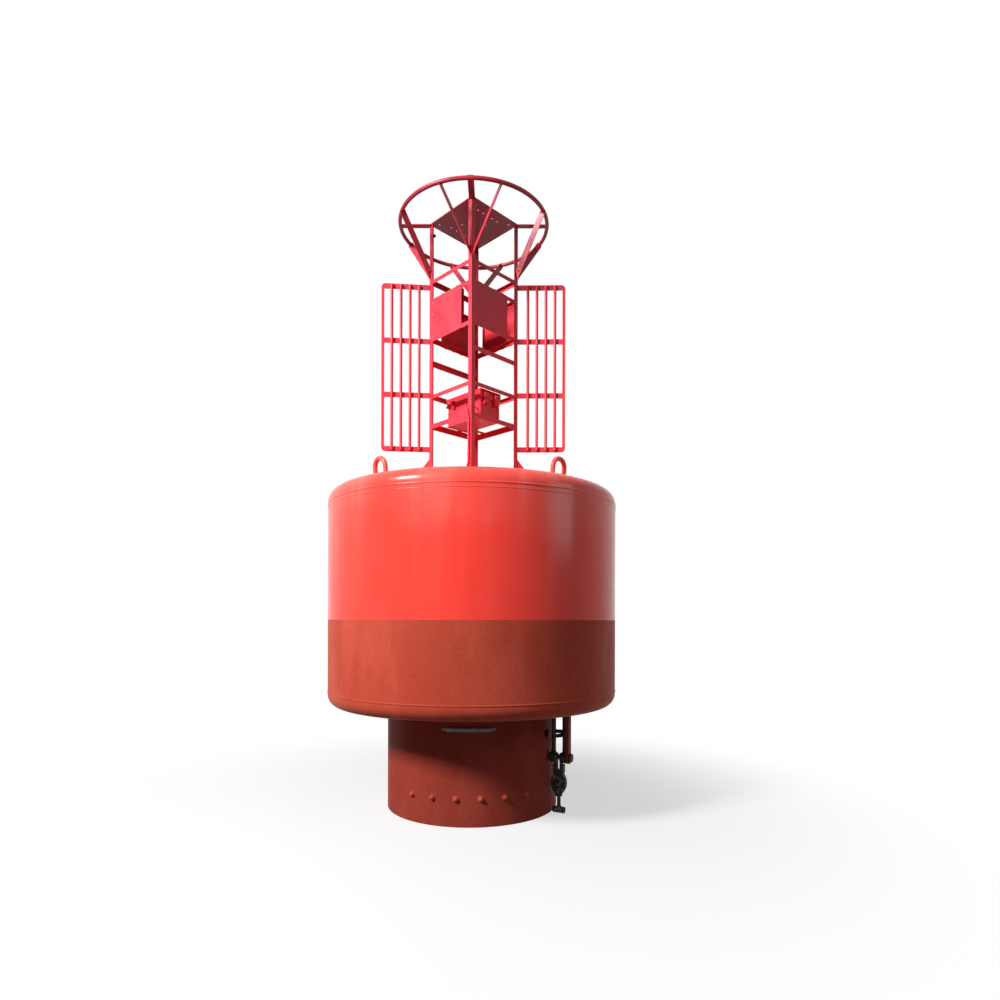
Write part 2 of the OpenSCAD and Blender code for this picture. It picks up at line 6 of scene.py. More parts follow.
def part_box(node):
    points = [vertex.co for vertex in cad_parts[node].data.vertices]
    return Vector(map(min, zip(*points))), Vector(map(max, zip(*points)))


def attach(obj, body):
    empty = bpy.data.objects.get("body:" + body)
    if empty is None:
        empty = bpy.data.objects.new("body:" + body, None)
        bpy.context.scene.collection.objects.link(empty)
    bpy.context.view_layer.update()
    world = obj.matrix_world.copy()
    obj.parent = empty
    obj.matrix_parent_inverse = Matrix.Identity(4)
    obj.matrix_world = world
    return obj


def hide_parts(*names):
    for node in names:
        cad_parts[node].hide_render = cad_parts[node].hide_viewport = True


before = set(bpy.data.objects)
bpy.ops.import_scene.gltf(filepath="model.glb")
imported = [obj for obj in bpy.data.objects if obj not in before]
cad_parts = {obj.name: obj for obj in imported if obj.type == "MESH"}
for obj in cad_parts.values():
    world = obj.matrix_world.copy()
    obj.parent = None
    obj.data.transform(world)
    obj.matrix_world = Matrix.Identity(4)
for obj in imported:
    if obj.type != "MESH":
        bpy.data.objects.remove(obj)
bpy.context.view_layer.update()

# The viewer stands in front of the buoy, a step to its right, and looks straight ahead at eye height.
# The picture is 1000 pixels wide and high, and its middle is level with the mast.
EYE_X = 0.236
EYE_Y = -5.485
EYE_Z = 1.55
SENSOR_WIDTH = 36
PICTURE_PIXELS = 1000
FOCAL_PIXELS = 640
HORIZON_PIXELS = 620
EYE_ROLL = -0.15
SIDE_SHIFT = -0.0004
camera_data = bpy.data.cameras.new("viewer")
camera_data.sensor_width = SENSOR_WIDTH
camera_data.lens = SENSOR_WIDTH * FOCAL_PIXELS / PICTURE_PIXELS
camera_data.shift_x = SIDE_SHIFT
camera_data.shift_y = (HORIZON_PIXELS - PICTURE_PIXELS / 2) / PICTURE_PIXELS
camera = bpy.data.objects.new("viewer", camera_data)
camera.location = (EYE_X, EYE_Y, EYE_Z)
camera.rotation_euler = (math.radians(90), math.radians(EYE_ROLL), 0)
bpy.context.scene.collection.objects.link(camera)
bpy.context.scene.camera = camera
bpy.context.scene.view_settings.view_transform = "Standard"


# The studio: a pale floor that fades into a white surround. It throws less light back than it shows.
# The main lamp stands high in front on the left, and a weak one on the right lifts the shaded side.
FLOOR_HALF = 40
FLOOR_FADE_FROM = 1.2
FLOOR_FADE_TO = 3.8
FLOOR_SEEN = 0.6
FLOOR_PALE = 0.70
FLOOR_BOUNCE = 0.15
SURROUND_LIGHT = 0.13


class Signal:
    """A socket in a material's node tree. Its operators add Math nodes, and node() adds any other."""

    def __init__(self, tree, socket):
        self.tree = tree
        self.socket = socket

    def node(self, kind, settings=None, sockets=None, output=0):
        made = self.tree.nodes.new(kind)
        for name, value in (settings or {}).items():
            setattr(made, name, value)
        for name, value in (sockets or {}).items():
            socket = made.inputs[name]
            if isinstance(value, Signal):
                self.tree.links.new(value.socket, socket)
            elif socket.type == "RGBA":
                socket.default_value = (*value, 1)
            else:
                socket.default_value = value
        return Signal(self.tree, made.outputs[output] if len(made.outputs) else None)

    def math(self, operation, *values):
        return self.node("ShaderNodeMath", {"operation": operation}, dict(enumerate(values)))

    def __add__(self, other):
        return self.math("ADD", self, other)

    def __radd__(self, other):
        return self.math("ADD", other, self)

    def __sub__(self, other):
        return self.math("SUBTRACT", self, other)

    def __rsub__(self, other):
        return self.math("SUBTRACT", other, self)

    def __mul__(self, other):
        return self.math("MULTIPLY", self, other)

    def __rmul__(self, other):
        return self.math("MULTIPLY", other, self)


def empty_tree(owner):
    """The cleared node tree of a material or of the world."""
    owner.use_nodes = True
    owner.node_tree.nodes.clear()
    return Signal(owner.node_tree, None)


def ray(path, kind):
    """1 for one kind of ray and 0 for the others, from a Light Path node."""
    return Signal(path.tree, path.socket.node.outputs[kind])


bpy.ops.object.select_all(action="DESELECT")
bpy.ops.mesh.primitive_plane_add(size=2 * FLOOR_HALF, location=(0, 0, 0))
floor = bpy.context.object
floor.name = "floor"
floor_paint = bpy.data.materials.new("floor_paint")
net = empty_tree(floor_paint)
path = net.node("ShaderNodeLightPath")
seen = ray(path, "Is Camera Ray")
shine = ray(path, "Is Glossy Ray")
where = net.node("ShaderNodeTexCoord", output=3)
away = net.node("ShaderNodeVectorMath", {"operation": "LENGTH"}, {0: where}, output=1)
fade = net.node("ShaderNodeMapRange", {"interpolation_type": "SMOOTHSTEP"},
                {0: away, 1: FLOOR_FADE_FROM, 2: FLOOR_FADE_TO, 3: FLOOR_SEEN, 4: 1.0})
pale = net.node("ShaderNodeCombineColor", sockets={
    name: FLOOR_BOUNCE + (FLOOR_PALE - FLOOR_BOUNCE) * seen for name in ("Red", "Green", "Blue")})
lit = net.node("ShaderNodeBsdfDiffuse", sockets={"Color": pale})
white = net.node("ShaderNodeEmission", sockets={"Color": (1, 1, 1), "Strength": 1.0})
both = net.node("ShaderNodeMixShader", sockets={0: (seen + shine) * fade, 1: lit, 2: white})
net.node("ShaderNodeOutputMaterial", sockets={"Surface": both})
floor.data.materials.append(floor_paint)

world = bpy.data.worlds.new("surround")
bpy.context.scene.world = world
net = empty_tree(world)
path = net.node("ShaderNodeLightPath")
seen = ray(path, "Is Camera Ray")
shine = ray(path, "Is Glossy Ray")
through = ray(path, "Is Transmission Ray")
shown = net.node("ShaderNodeClamp", sockets={0: seen + shine + through})
strength = SURROUND_LIGHT + (1 - SURROUND_LIGHT) * shown
sky = net.node("ShaderNodeBackground", sockets={"Color": (1, 1, 1), "Strength": strength})
net.node("ShaderNodeOutputWorld", sockets={"Surface": sky})


def soft_lamp(name, azimuth, height, distance, size, watts, aim_z):
    """A square lamp at an azimuth from the front, turned to face the buoy's axis."""
    data = bpy.data.lights.new(name, "AREA")
    data.shape = "SQUARE"
    data.size = size
    data.energy = watts
    lamp = bpy.data.objects.new(name, data)
    turn = math.radians(azimuth)
    lamp.location = (distance * math.sin(turn), -distance * math.cos(turn), height)
    pitch = math.atan2(distance, height - aim_z)
    lamp.rotation_euler = (pitch, 0, turn)
    lamp.visible_camera = False
    bpy.context.scene.collection.objects.link(lamp)


soft_lamp("key_lamp", azimuth=-48, height=7.4, distance=8.6, size=1.8, watts=1850, aim_z=2.2)
soft_lamp("fill_lamp", azimuth=66, height=3.6, distance=6.0, size=2.0, watts=46, aim_z=2.0)


# The red enamel of the hull's upper part and of its deck fittings, sprayed over steel plate. It
# shines, shows the plate's slow waves and an orange skin, and has chalked a little in upright
# streaks. Towards the top of the wall it is painted paler: a painted sheen.
RED = (0.84, 0.043, 0.028)
RED_CHALKED = (0.84, 0.080, 0.062)
RED_PAINTED_SHEEN = (0.84, 0.165, 0.135)
GRIME = (0.10, 0.045, 0.035)
SHEEN_FROM = 2.05
SHEEN_FULL = 2.55
SKIN_HEIGHT = 0.000035


def mixed(net, factor, first, second):
    """A colour between two others."""
    sockets = {0: factor, 6: first, 7: second}
    return net.node("ShaderNodeMix", {"data_type": "RGBA"}, sockets, output=2)


def between(net, value, low, high, to_low=0.0, to_high=1.0):
    """A value's place between two limits, held inside them."""
    return net.node("ShaderNodeMapRange", {}, {0: value, 1: low, 2: high, 3: to_low, 4: to_high})


def noise(net, vector, scale, detail=2.0):
    """Cloudy values about 0.5, finer the greater the scale."""
    sockets = {"Vector": vector, "Scale": scale, "Detail": detail}
    return net.node("ShaderNodeTexNoise", sockets=sockets)


def coat(net, colour, gloss, height, specular=0.5, metallic=0.0):
    """The outer surface of a finish, with bumps from a height in metres."""
    bumps = net.node("ShaderNodeBump", sockets={"Height": height, "Strength": 1.0, "Distance": 1.0})
    shader = net.node("ShaderNodeBsdfPrincipled", sockets={
        "Base Color": colour, "Roughness": gloss, "Normal": bumps,
        "Specular IOR Level": specular, "Metallic": metallic})
    net.node("ShaderNodeOutputMaterial", sockets={"Surface": shader})


def enamel(name, colour, chalked, roughness, wave_height, specular):
    """Sprayed gloss paint: streaks, stains and painted sheen at the top; waves and orange skin."""
    made = bpy.data.materials.new(name)
    net = empty_tree(made)
    where = net.node("ShaderNodeTexCoord", output=3)
    slow = noise(net, where, 1.4)
    drawn_down = net.node("ShaderNodeMapping", sockets={"Vector": where, "Scale": (6.0, 6.0, 0.4)})
    streaks = between(net, noise(net, drawn_down, 1.0, 4.0), 0.48, 0.70)
    specks = between(net, noise(net, where, 70.0, 3.0), 0.70, 0.78)
    stains = between(net, noise(net, where, 9.0, 5.0), 0.58, 0.75)
    height = net.node("ShaderNodeSeparateXYZ", sockets={"Vector": where}, output=2)
    # Painted sheen: paler towards the top of the wall, broken up by the slow clouds and the streaks.
    painted_sheen = between(net, height + (slow - 0.5) * 1.2, SHEEN_FROM, SHEEN_FULL)
    painted_sheen = painted_sheen * (0.35 + streaks * 0.65)
    tone = mixed(net, streaks * 0.35 + between(net, slow, 0.3, 0.7) * 0.25, colour, chalked)
    tone = mixed(net, painted_sheen * 0.8, tone, RED_PAINTED_SHEEN)
    tone = mixed(net, stains * 0.07 + specks * 0.35, tone, GRIME)
    gloss = roughness + streaks * 0.10 + stains * 0.08 + specks * 0.2
    waves = noise(net, where, 2.6, 1.0) * wave_height
    skin = noise(net, where, 420.0, 1.0) * SKIN_HEIGHT
    coat(net, tone, gloss, waves + skin, specular)
    return made


def dress(names, finish):
    """Gives CAD nodes a finish."""
    for name in names:
        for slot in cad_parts[name].material_slots:
            slot.material = finish


hull_enamel = enamel("hull_enamel", RED, RED_CHALKED,
                     roughness=0.19, wave_height=0.0013, specular=0.18)
eyes = ["lifting_eye_1", "lifting_eye_2", "lifting_eye_3", "lifting_eye_4"]
dress(["top_head", "shell_upper", "manhole_collar", "manhole_cover", *eyes], hull_enamel)


# The red-brown bottom paint of the hull below its water line, of the tail tube and of the strap. It
# is rolled on in thick coats over steel and dries matt, with roller marks and faint lap lines.
BOTTOM = (0.37, 0.047, 0.024)
BOTTOM_PALE = (0.50, 0.082, 0.050)
BOTTOM_DARK = (0.25, 0.034, 0.021)
# The tail's colours are darker than the bottom paint's, partly for fouling and partly as painted
# shade under the hull.
TAIL = (0.24, 0.030, 0.018)
TAIL_PALE = (0.33, 0.055, 0.036)
TAIL_DARK = (0.12, 0.020, 0.015)
ROLLED_WAVES = 0.0009
ROLLED_GRAIN = 0.00009


def rolled_paint(name, colour, pale, dark, roughness):
    """Matt paint laid on by a roller."""
    made = bpy.data.materials.new(name)
    net = empty_tree(made)
    where = net.node("ShaderNodeTexCoord", output=3)
    broad = noise(net, where, 1.1)
    laps = net.node("ShaderNodeMapping", sockets={"Vector": where, "Scale": (3.0, 3.0, 1.1)})
    patches = between(net, noise(net, laps, 1.6, 3.0), 0.42, 0.62)
    mottle = noise(net, where, 38.0, 4.0)
    tone = mixed(net, patches * 0.30 + between(net, broad, 0.35, 0.7) * 0.25, colour, pale)
    tone = mixed(net, between(net, mottle, 0.5, 0.75) * 0.35, tone, dark)
    gloss = roughness + between(net, mottle, 0.3, 0.7) * 0.12 - patches * 0.05
    waves = noise(net, where, 2.2, 1.0) * ROLLED_WAVES
    grain = noise(net, where, 260.0, 2.0) * ROLLED_GRAIN
    coat(net, tone, gloss, waves + grain, specular=0.07)
    return made


bottom_paint = rolled_paint("bottom_paint", BOTTOM, BOTTOM_PALE, BOTTOM_DARK, roughness=0.46)
dress(["shell_lower", "bottom_head"], bottom_paint)
tail_paint_and_shade = rolled_paint("tail_paint_and_shade", TAIL, TAIL_PALE, TAIL_DARK, roughness=0.52)
# The keeper strap gets the darker tail paint as painted shade under the hull.
dress(["tail_tube", "keeper_strap"], tail_paint_and_shade)


# The round seams of the hull: a bead where each head is welded to its shell, a fine ridge where the
# top head's rim is let into the shell, and the fillets round the tail tube and the manhole.
TOP_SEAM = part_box("top_head")[0].z
LOW_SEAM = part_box("bottom_head")[1].z
HULL_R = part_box("shell_upper")[1].x
TAIL_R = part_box("tail_tube")[1].x
TAIL_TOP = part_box("tail_tube")[1].z
MANHOLE_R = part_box("manhole_collar")[1].x
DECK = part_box("top_head")[1].z
BEAD_WIDTH = 0.014
BEAD_HEIGHT = 0.0035
RIM_DROP = 0.034
RIM_WIDTH = 0.007
RIM_HEIGHT = 0.0018
TAIL_FILLET_WIDTH = 0.022
TAIL_FILLET_HEIGHT = 0.010
MANHOLE_FILLET_WIDTH = 0.014
MANHOLE_FILLET_HEIGHT = 0.006
SHARP_FROM = math.radians(40)


def finish_piece(piece, name, paint, body):
    """Names a piece, smooths it and hands it to its body."""
    piece.name = name
    piece.data.name = name
    piece.data.materials.clear()
    piece.data.materials.append(paint)
    bpy.ops.object.select_all(action="DESELECT")
    piece.select_set(True)
    bpy.context.view_layer.objects.active = piece
    bpy.ops.object.transform_apply(location=True, rotation=True, scale=True)
    bpy.ops.object.shade_smooth_by_angle(angle=SHARP_FROM)
    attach(piece, body)


def joined(pieces):
    """Several pieces made one."""
    bpy.ops.object.select_all(action="DESELECT")
    for piece in pieces:
        piece.select_set(True)
    bpy.context.view_layer.objects.active = pieces[0]
    bpy.ops.object.join()
    return bpy.context.object


def ring_bead(radius, z, width, height, steps=360):
    """A weld bead that runs round a plate, with its back inside the plate."""
    bpy.ops.object.select_all(action="DESELECT")
    bpy.ops.mesh.primitive_torus_add(location=(0, 0, z), major_radius=radius, minor_radius=height,
                                     major_segments=steps, minor_segments=10)
    bead = bpy.context.object
    bpy.ops.object.mode_set(mode="EDIT")
    bpy.ops.transform.resize(value=(1, 1, width / 2 / height), center_override=(0, 0, z))
    bpy.ops.object.mode_set(mode="OBJECT")
    return bead


upper_beads = [ring_bead(HULL_R, TOP_SEAM, BEAD_WIDTH, BEAD_HEIGHT),
               ring_bead(HULL_R, TOP_SEAM - RIM_DROP, RIM_WIDTH, RIM_HEIGHT)]
finish_piece(joined(upper_beads), "seam_top", hull_enamel, "root")
lower_beads = [ring_bead(HULL_R, LOW_SEAM, BEAD_WIDTH, BEAD_HEIGHT),
               ring_bead(TAIL_R, TAIL_TOP, TAIL_FILLET_WIDTH, TAIL_FILLET_HEIGHT)]
finish_piece(joined(lower_beads), "seams_bottom", bottom_paint, "root")
fillet = ring_bead(MANHOLE_R, DECK, MANHOLE_FILLET_WIDTH, MANHOLE_FILLET_HEIGHT, 120)
finish_piece(fillet, "manhole_fillet", hull_enamel, "root")


# The domed heads of the bolts that hold the ballast blocks, in a row at the front and one at the
# back. Each sits on a thick washer and is painted over.
BOLT_Z = 0.212
BOLT_ROW = 6
BOLT_STEP = 15
HEAD_D = 0.037
HEAD_H = 0.019
HEAD_DOME = 0.42 * HEAD_D
WASHER_D = 0.050
WASHER_H = 0.006
WASHER_EDGE = 0.0015
WASHER_SUNK = 0.002


def select_top(piece):
    """Goes into edit mode with only the faces selected that look up."""
    bpy.ops.object.mode_set(mode="EDIT")
    bpy.ops.mesh.select_mode(type="FACE")
    bpy.ops.mesh.select_all(action="DESELECT")
    bpy.ops.object.mode_set(mode="OBJECT")
    for face in piece.data.polygons:
        face.select = face.normal.z > 0.9
    bpy.ops.object.mode_set(mode="EDIT")


def disc(radius, height, low, sides=20, edge=0.0, rings=2):
    """A round or many-sided piece that stands on z = low, with its upper edge rounded."""
    bpy.ops.object.select_all(action="DESELECT")
    bpy.ops.mesh.primitive_cylinder_add(vertices=sides, radius=radius, depth=height,
                                        location=(0, 0, low + height / 2))
    piece = bpy.context.object
    bpy.ops.object.transform_apply(location=True)
    if edge:
        select_top(piece)
        bpy.ops.mesh.region_to_loop()
        bpy.ops.mesh.bevel(offset=edge, segments=rings, affect="EDGES")
        bpy.ops.object.mode_set(mode="OBJECT")
    return piece


def copies(original, places):
    """One piece of an original repeated at several places, each a matrix."""
    made = []
    for place in places:
        copy = original.copy()
        copy.data = original.data.copy()
        copy.data.transform(place)
        bpy.context.scene.collection.objects.link(copy)
        made.append(copy)
    bpy.data.objects.remove(original)
    return joined(made)


def facing(azimuth, radius, z):
    """The matrix that stands a piece on a round wall, with its +Z pointing out of it."""
    turn = Matrix.Rotation(math.radians(azimuth - 90), 4, "Z")
    return turn @ Matrix.Translation((radius, 0, z)) @ Matrix.Rotation(math.radians(90), 4, "Y")


head = disc(HEAD_D / 2, HEAD_H, WASHER_H, edge=HEAD_DOME, rings=4)
washer = disc(WASHER_D / 2, WASHER_H + WASHER_SUNK, -WASHER_SUNK, edge=WASHER_EDGE, rings=1)
bolt = joined([head, washer])
bolt_places = [facing(middle + (i - (BOLT_ROW - 1) / 2) * BOLT_STEP, TAIL_R, BOLT_Z)
               for middle in (0, 180) for i in range(BOLT_ROW)]
finish_piece(copies(bolt, bolt_places), "ballast_bolts", bottom_paint, "root")


# The weld beads of the flat joints: a row of overlapping drops, drawn out to the length of each
# joint. Those on the hull close the shells' upright seams at the back and hold the lifting eyes.
BEAD_SIDES = 8
BEAD_DROPS = 8
BEAD_SWELL = (2.0, *((0.8, 1.25) * (BEAD_DROPS - 1)), 0.75)


def weld_drops():
    """A bead one metre long and thick that stands on the origin. Its half drops swell and narrow."""
    half_drop = 0.5 / BEAD_DROPS
    bpy.ops.object.select_all(action="DESELECT")
    bpy.ops.mesh.primitive_circle_add(vertices=BEAD_SIDES, radius=0.5 / BEAD_SWELL[0],
                                      fill_type="NGON")
    bead = bpy.context.object
    bpy.ops.object.mode_set(mode="EDIT")
    for step, swell in enumerate(BEAD_SWELL, 1):
        bpy.ops.mesh.extrude_region_move(TRANSFORM_OT_translate={"value": (0, 0, half_drop)})
        bpy.ops.transform.resize(value=(swell, swell, 1), center_override=(0, 0, step * half_drop))
    bpy.ops.mesh.select_all(action="SELECT")
    bpy.ops.mesh.normals_make_consistent(inside=False)
    bpy.ops.object.mode_set(mode="OBJECT")
    return bead


def line(start, end, width):
    """The matrix that draws the unit bead out from one point to another."""
    start = Vector(start)
    run = Vector(end) - start
    turn = run.to_track_quat("Z", "Y").to_matrix().to_4x4()
    return Matrix.Translation(start) @ turn @ Matrix.Diagonal((width, width, run.length, 1))


def weld(lines, name, paint):
    """All the beads of one joint as a piece."""
    finish_piece(copies(weld_drops(), [line(*place) for place in lines]), name, paint, "root")


PAINT_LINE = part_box("shell_upper")[0].z
SEAM_BEAD = 0.010
UPPER_RUN = 0.31
LOWER_RUN = 0.29
seam = [((0, HULL_R, low), (0, HULL_R, low + UPPER_RUN), SEAM_BEAD)
        for low in (PAINT_LINE, PAINT_LINE + UPPER_RUN, PAINT_LINE + 2 * UPPER_RUN)]
weld(seam, "seam_back_upper", hull_enamel)
seam = [((0, HULL_R, low), (0, HULL_R, low + LOWER_RUN), SEAM_BEAD)
        for low in (LOW_SEAM, LOW_SEAM + LOWER_RUN)]
weld(seam, "seam_back_lower", bottom_paint)

EYE_R = 0.956
EYE_W = 0.130
EYE_BAR = 0.036
EYE_LEAN = math.radians(6)
EYE_FOOT_Z = 2.618
EYE_AZIMUTHS = (45, 135, 225, 315)
EYE_FILLET_R = 0.008
EYE_FILLET_GAP = 0.002
EYE_FILLET_FLAT = 0.8
eye_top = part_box("lifting_eye_1")[1].z - EYE_BAR / 2
foot_r = EYE_R - (eye_top - EYE_FOOT_Z) * math.tan(EYE_LEAN)
bpy.ops.object.select_all(action="DESELECT")
bpy.ops.mesh.primitive_torus_add(major_radius=EYE_BAR / 2 + EYE_FILLET_GAP, major_segments=24,
                                 minor_radius=EYE_FILLET_R, minor_segments=8)
eye_collar = bpy.context.object
bpy.ops.object.mode_set(mode="EDIT")
bpy.ops.transform.resize(value=(1, 1, EYE_FILLET_FLAT), center_override=(0, 0, 0))
bpy.ops.object.mode_set(mode="OBJECT")
eye_places = []
for azimuth in EYE_AZIMUTHS:
    turn = Matrix.Rotation(math.radians(azimuth - 90), 4, "Z")
    for side in (-1, 1):
        foot = Matrix.Translation((foot_r, side * EYE_W / 2, EYE_FOOT_Z))
        eye_places.append(turn @ (foot @ Matrix.Rotation(EYE_LEAN, 4, "Y")))
finish_piece(copies(eye_collar, eye_places), "eye_fillets", hull_enamel, "root")


# The manhole cover is held by a ring of hexagon bolts over a rubber gasket, and two bent bars on it
# are its handles. All but the gasket is painted with the deck.
COVER_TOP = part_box("manhole_cover")[1].z
COVER_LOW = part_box("manhole_cover")[0].z
COVER_BOLTS = 16
COVER_BOLT_INSET = 0.028
COVER_HEAD_R = 0.0139
COVER_HEAD_H = 0.011
COVER_HEAD_EDGE = 0.0015
COVER_WASHER_R = 0.017
COVER_WASHER_T = 0.003
HANDLE_BAR = 0.012
HANDLE_R = 0.055
HANDLE_SIDE = 0.11
SAME_POINT = 0.0001


def hexagon_head(radius, height, edge, washer_r, washer_t):
    """A hexagon bolt head on a flat washer."""
    head = disc(radius, height, washer_t, sides=6, edge=edge, rings=1)
    return joined([head, disc(washer_r, washer_t, 0)])


cover_bolt = hexagon_head(COVER_HEAD_R, COVER_HEAD_H, COVER_HEAD_EDGE,
                          COVER_WASHER_R, COVER_WASHER_T)
on_rim = Matrix.Translation((MANHOLE_R - COVER_BOLT_INSET, 0, COVER_TOP))
bolt_places = [Matrix.Rotation(2 * math.pi * i / COVER_BOLTS, 4, "Z") @ on_rim
               for i in range(COVER_BOLTS)]
finish_piece(copies(cover_bolt, bolt_places), "cover_bolts", hull_enamel, "root")

bpy.ops.object.select_all(action="DESELECT")
bpy.ops.mesh.primitive_circle_add(vertices=12, radius=HANDLE_BAR / 2, fill_type="NGON",
                                  location=(HANDLE_R, 0, COVER_TOP))
handle = bpy.context.object
bpy.ops.object.transform_apply(location=True)
bpy.ops.object.mode_set(mode="EDIT")
bpy.ops.mesh.select_all(action="SELECT")
bpy.ops.mesh.spin(steps=18, angle=math.pi, center=(0, 0, COVER_TOP), axis=(0, 1, 0))
bpy.ops.mesh.select_all(action="SELECT")
bpy.ops.mesh.remove_doubles(threshold=SAME_POINT)
bpy.ops.mesh.normals_make_consistent(inside=False)
bpy.ops.object.mode_set(mode="OBJECT")
handle_places = [Matrix.Translation((0, side * HANDLE_SIDE, 0)) for side in (-1, 1)]
finish_piece(copies(handle, handle_places), "cover_handles", hull_enamel, "root")


# The gasket that the cover presses on its collar is a ring of plain black rubber, slightly dusty. It
# shows as a thin dark line under the edge of the cover.
RUBBER = (0.012, 0.012, 0.013)
DUST = (0.06, 0.052, 0.048)
RUBBER_GRAIN = 0.0001
SEAL_PROUD = 0.001
SEAL_WIDTH = 0.006
SEAL_HEIGHT = 0.004


def black_rubber(name):
    """Black rubber with dust in its grain."""
    made = bpy.data.materials.new(name)
    net = empty_tree(made)
    where = net.node("ShaderNodeTexCoord", output=3)
    dust = between(net, noise(net, where, 45.0, 4.0), 0.45, 0.8)
    grain = noise(net, where, 320.0, 2.0) * RUBBER_GRAIN
    coat(net, mixed(net, dust * 0.5, RUBBER, DUST), 0.62 + dust * 0.25, grain, specular=0.3)
    return made


rubber = black_rubber("rubber")
seal = ring_bead(MANHOLE_R + SEAL_PROUD, COVER_LOW, SEAL_WIDTH, SEAL_HEIGHT, 96)
finish_piece(seal, "cover_seal", rubber, "root")


# Zinc bars that waste away in the sea to save the steel, each held by a welded steel strap. The cast
# metal has gone grey-brown and chalky, with fine pits. The cast iron of the ballast is rougher.
ZINC = (0.17, 0.15, 0.135)
ZINC_CHALK = (0.34, 0.32, 0.29)
CAST = (0.12, 0.075, 0.055)
CAST_RUST = (0.22, 0.11, 0.07)
ANODE_STRAP_TURN = 16.2
ANODE_STRAP_HALF = 0.010
ANODE_BEAD = 0.009


def cast_metal(name, colour, pale, roughness, pit):
    """Rough cast or corroded metal with pits."""
    made = bpy.data.materials.new(name)
    net = empty_tree(made)
    where = net.node("ShaderNodeTexCoord", output=3)
    cloud = noise(net, where, 16.0, 6.0)
    grain = noise(net, where, 140.0, 4.0)
    tone = mixed(net, between(net, cloud, 0.42, 0.68) * 0.7, colour, pale)
    gloss = roughness + between(net, cloud, 0.3, 0.7) * 0.15
    height = cloud * pit + grain * pit * 0.35
    coat(net, tone, gloss, height)
    return made


dress(["anodes"], cast_metal("wasted_zinc", ZINC, ZINC_CHALK, roughness=0.6, pit=0.0012))
dress(["ballast_blocks"], cast_metal("cast_iron", CAST, CAST_RUST, roughness=0.75, pit=0.0016))
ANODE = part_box("anodes")
ANODE_Z = (ANODE[0].z + ANODE[1].z) / 2
strap_half = Vector((0, 0, ANODE_STRAP_HALF))
strap_ends = []
for middle in (0, 180):
    for side in (-1, 1):
        turn = math.radians(middle + side * ANODE_STRAP_TURN - 90)
        spot = Vector((TAIL_R * math.cos(turn), TAIL_R * math.sin(turn), ANODE_Z))
        strap_ends.append((spot - strap_half, spot + strap_half, ANODE_BEAD))
# The strap welds on the tail take its darker paint, partly painted shade.
weld(strap_ends, "anode_welds", tail_paint_and_shade)


# The mast's red paint is brushed on angle iron and flat bar and is less glossy than the hull's.
# It is set deeper and bluer than the hull's red, as painted shade and a painted bluish reflection,
# and darker still towards the top, as painted shade.
MAST_RED_SHADED = (0.72, 0.028, 0.052)
MAST_RED_TOP_SHADE = (0.32, 0.012, 0.034)
MAST_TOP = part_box("top_plate")[1].z
TOP_SHADE_FROM = MAST_TOP - 1.1
TOP_SHADE_FULL = MAST_TOP - 0.1
BRUSH_LINES = 0.00012
BRUSHED_GRAIN = 0.00010


def brushed_paint(name):
    """Brushed paint on rolled steel: brush lines along the bars, and dirt in their pores."""
    made = bpy.data.materials.new(name)
    net = empty_tree(made)
    where = net.node("ShaderNodeTexCoord", output=3)
    height = net.node("ShaderNodeSeparateXYZ", sockets={0: where}, output=2)
    cloud = noise(net, where, 7.0, 4.0)
    lines = net.node("ShaderNodeMapping", sockets={"Vector": where, "Scale": (160.0, 160.0, 14.0)})
    bristles = noise(net, lines, 1.0, 2.0)
    grain = noise(net, where, 190.0, 3.0)
    # Darker towards the top: painted shade.
    tone = mixed(net, between(net, height, TOP_SHADE_FROM, TOP_SHADE_FULL), MAST_RED_SHADED, MAST_RED_TOP_SHADE)
    tone = mixed(net, between(net, cloud, 0.45, 0.7) * 0.22, tone, RED_CHALKED)
    tone = mixed(net, between(net, grain, 0.62, 0.75) * 0.3, tone, GRIME)
    gloss = 0.36 + between(net, cloud, 0.3, 0.7) * 0.14
    relief = bristles * BRUSH_LINES + grain * BRUSHED_GRAIN
    coat(net, tone, gloss, relief, specular=0.3)
    return made


mast_paint = brushed_paint("mast_paint")
FRAMES = ["frame_a", "frame_b", "frame_c", "frame_e", "frame_f"]
MAST_KINDS = ("leg_", "panel_", "stays_", "grille_")
mast_nodes = [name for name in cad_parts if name.startswith(MAST_KINDS)]
dress([*mast_nodes, *FRAMES, "braces_d", "top_plate", "guard_ring"], mast_paint)
dress(["box_tray", "battery_box", "box_lid", "lid_hasps"], mast_paint)


# The mast's joints are all welded: frames to legs, side plates to frames, and the legs and their
# gussets to the deck. Each bead follows the joint of the rolled sections, and is painted over.
PLATE_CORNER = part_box("top_plate")[1].x
MAST_HALF = PLATE_CORNER / math.sqrt(2)
LEG_W = (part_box("leg_1")[1].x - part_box("leg_1")[0].x) / math.sqrt(2)
LEG_T = 0.005
LEG_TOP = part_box("leg_1")[1].z
GUSSET_REACH = -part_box("leg_1")[0].y - PLATE_CORNER
GUSSET_BEAD_LOW = 0.01
GUSSET_BEAD_TOP = 0.26
FRAME_FACE = MAST_HALF - LEG_T
FLANGE_END = MAST_HALF - LEG_W
BAR_MARGIN = 0.003
CORNER_MARGIN = 0.008
PANEL_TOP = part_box("panel_1")[1].z
PANEL_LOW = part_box("panel_1")[0].z
TACKS = 4
TACK = 0.03
TACK_MARGIN = 0.02
TACK_STEP = 0.09
TACK_DEPTH = 0.001
EDGE_TACK_DEPTH = 0.002
MAST_BEAD = 0.007


def upright(x, y, low, high):
    """The two ends of an upright bead."""
    return (x, y, low), (x, y, high)


def crosswise(start, end, y, z):
    """The two ends of a level bead along one side of the mast."""
    return (start, y, z), (end, y, z)


def placed(place, joints, width):
    """The beads of some joints, all of one width, moved to their place."""
    return [(place @ Vector(start), place @ Vector(end), width) for start, end in joints]


